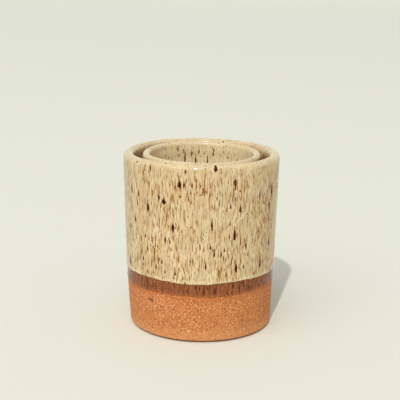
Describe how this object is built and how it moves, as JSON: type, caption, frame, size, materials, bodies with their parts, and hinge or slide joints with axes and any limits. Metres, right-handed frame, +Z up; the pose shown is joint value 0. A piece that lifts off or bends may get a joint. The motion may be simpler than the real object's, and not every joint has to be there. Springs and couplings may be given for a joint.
{
  "type": "nested clay tea cups",
  "caption": "Small clay tea cup standing loose inside a larger straight tumbler, round rims almost level, speckled cream glaze over a brown dip band and a bare terracotta foot.",
  "frame": {"origin": "on the turning axis, at the level of the outer cup's foot", "axes": "+Z up along the turning axis, through the open rims; the cups are round, so X and Y are free"},
  "size_m": [0.0798, 0.0798, 0.0905],
  "materials": {
    "terracotta_clay": "bare fired clay, sandy and matt",
    "brown_glaze": "thin glossy brown glaze with dark runs",
    "cream_glaze": "glossy cream glaze with brown iron specks and runs"
  },
  "bodies": {
    "outer_cup": {"outer_cup_clay": "terracotta_clay", "outer_cup_brown_glaze": "brown_glaze", "outer_cup_cream_glaze": "cream_glaze"},
    "inner_cup": {"inner_cup_clay": "terracotta_clay", "inner_cup_brown_glaze": "brown_glaze", "inner_cup_cream_glaze": "cream_glaze"}
  },
  "joints": [
    {"name": "inner_cup_lift", "type": "slide", "parent": "outer_cup", "child": "inner_cup", "axis": [0, 0, 1], "range_m": [0, 0.095]}
  ]
}
